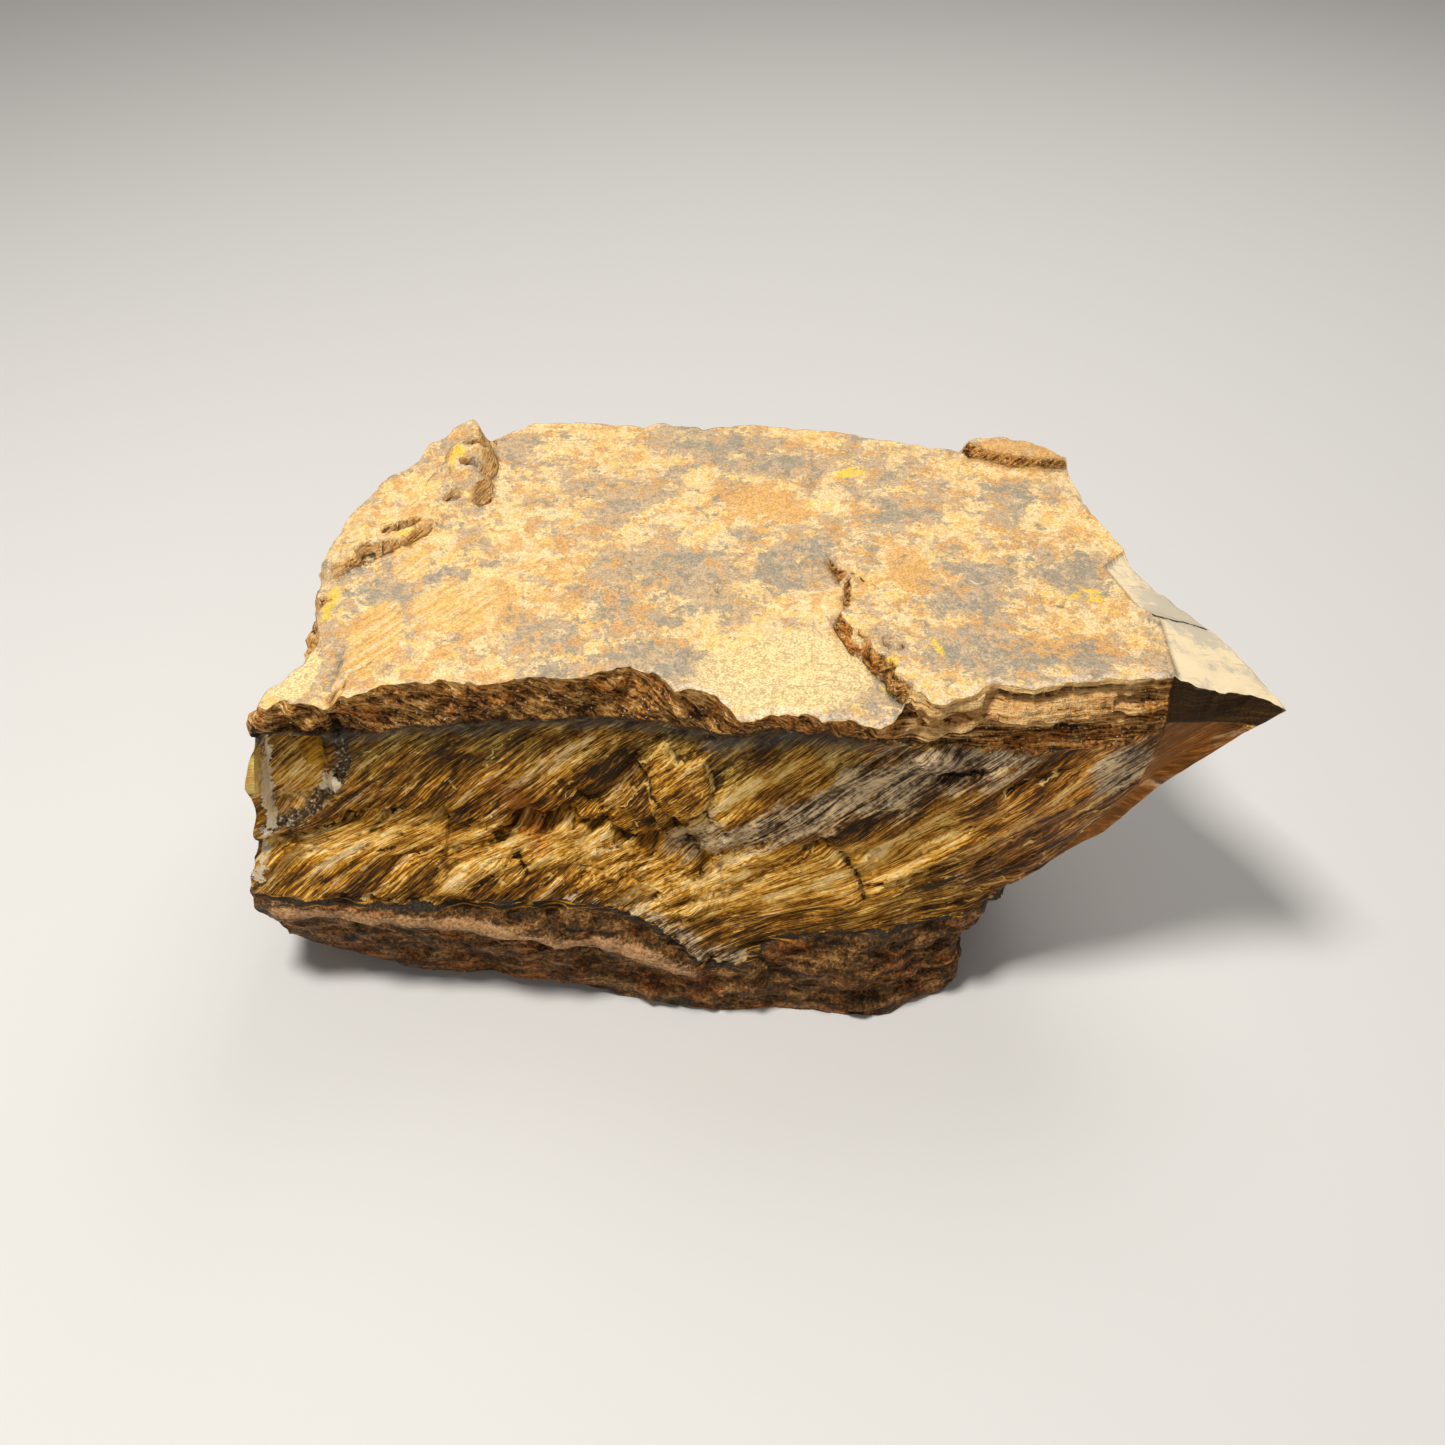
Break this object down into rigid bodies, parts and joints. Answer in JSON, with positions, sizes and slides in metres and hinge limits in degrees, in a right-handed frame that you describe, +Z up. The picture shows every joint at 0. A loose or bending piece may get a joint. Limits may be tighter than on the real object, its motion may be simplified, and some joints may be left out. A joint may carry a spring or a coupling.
{
  "type": "rough tigers eye stone",
  "caption": "Rough tiger's eye: a broken slab of brown ironstone crust over a seam of golden fibres, with a pointed end and a flat base to rest on.",
  "frame": {"origin": "centre of the stone's bounding box, at the height of its base", "axes": "+X along the stone's length towards its pointed end, -Y out of its best broken face, +Z up through the flat crust"},
  "size_m": [0.1226, 0.0704, 0.0507],
  "materials": {
    "tigers_eye": "rough broken rock with a silky golden fibre seam and a matt ochre crust"
  },
  "bodies": {
    "root": {"tigers_eye_stone": "tigers_eye"}
  },
  "joints": []
}
